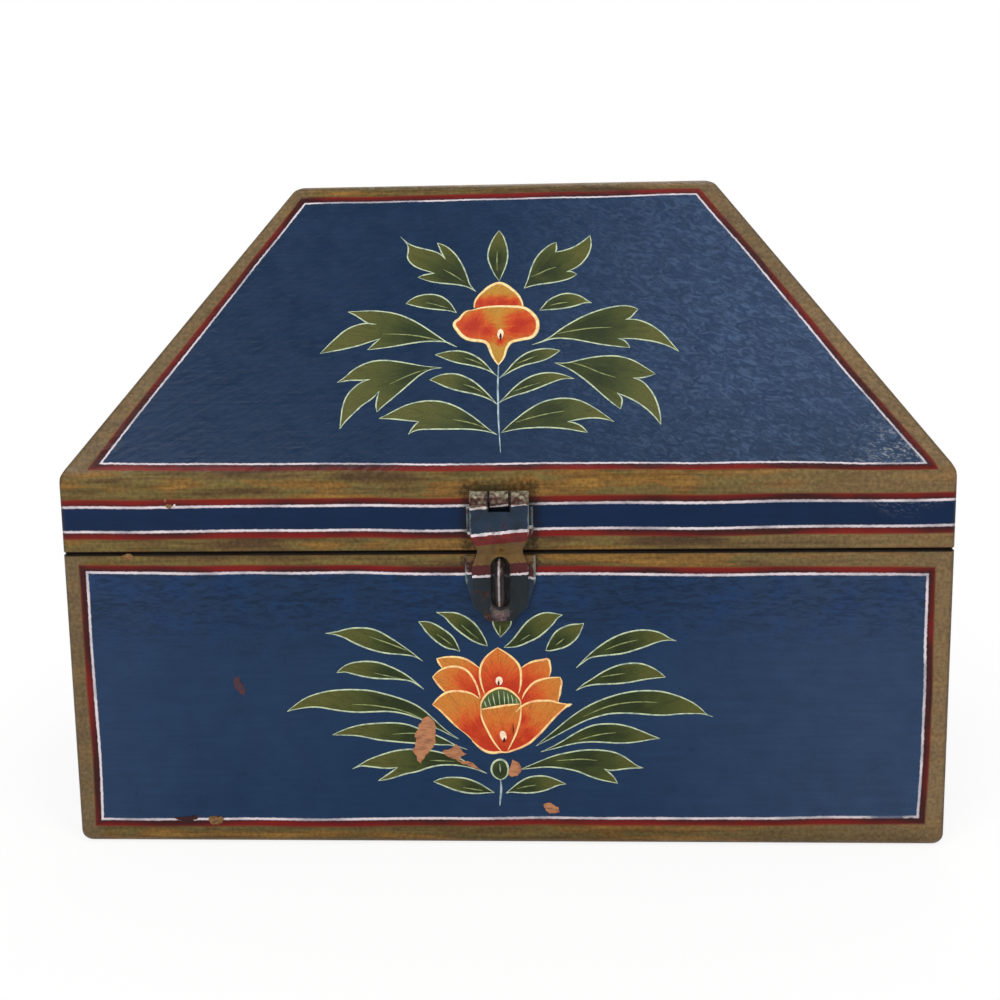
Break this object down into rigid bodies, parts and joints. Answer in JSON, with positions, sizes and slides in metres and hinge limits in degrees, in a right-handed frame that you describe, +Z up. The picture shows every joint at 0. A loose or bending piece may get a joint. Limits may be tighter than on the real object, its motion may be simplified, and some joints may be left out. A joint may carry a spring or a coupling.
{
  "type": "storage box",
  "caption": "Painted wooden storage box with a tall hipped, flat-topped lid hinged at the back and an iron hasp over a staple at the front.",
  "frame": {"origin": "middle of the case's underside", "axes": "+X along the front, to the right seen from the front; +Y from the front to the back; +Z up"},
  "size_m": [0.35, 0.2585, 0.266],
  "materials": {
    "painted_wood": "hand-painted blue, olive and red under gloss varnish, chipped to the wood",
    "painted_iron": "sheet iron, painted over, worn to rust at the edges",
    "iron_bar": "dark forged bar, rubbed bright where it is handled",
    "nail_iron": "dull dark cut nails"
  },
  "bodies": {
    "case": {"front_board": "painted_wood", "back_board": "painted_wood", "left_end_board": "painted_wood", "right_end_board": "painted_wood", "bottom_board": "painted_wood", "case_corner_nails": "nail_iron", "bottom_board_nails": "nail_iron", "staple_plate": "painted_iron", "staple": "iron_bar", "staple_plate_tacks": "nail_iron", "left_hinge_case_leaf": "painted_iron", "right_hinge_case_leaf": "painted_iron", "left_hinge_pin": "iron_bar", "right_hinge_pin": "iron_bar", "case_hinge_tacks": "nail_iron"},
    "lid": {"lid_front_rail": "painted_wood", "lid_back_rail": "painted_wood", "lid_left_rail": "painted_wood", "lid_right_rail": "painted_wood", "lid_front_slope": "painted_wood", "lid_back_slope": "painted_wood", "lid_left_slope": "painted_wood", "lid_right_slope": "painted_wood", "lid_top_board": "painted_wood", "hasp_fixed_leaf": "painted_iron", "left_hinge_lid_leaf": "painted_iron", "right_hinge_lid_leaf": "painted_iron", "hasp_pin": "iron_bar", "rail_corner_nails": "nail_iron", "slope_foot_nails": "nail_iron", "hip_nails": "nail_iron", "top_board_nails": "nail_iron", "hasp_leaf_tacks": "nail_iron", "lid_hinge_tacks": "nail_iron"},
    "hasp": {"hasp_strap": "painted_iron"}
  },
  "joints": [
    {"name": "lid_hinge", "type": "hinge", "parent": "case", "child": "lid", "pos_m": [0, 0.1234, 0.122], "axis": [-1, 0, 0], "range_deg": [0, 165]},
    {"name": "hasp_hinge", "type": "hinge", "parent": "lid", "child": "hasp", "pos_m": [-0.0006, -0.1236, 0.1437], "axis": [-1, 0, 0], "range_deg": [0, 180]}
  ]
}
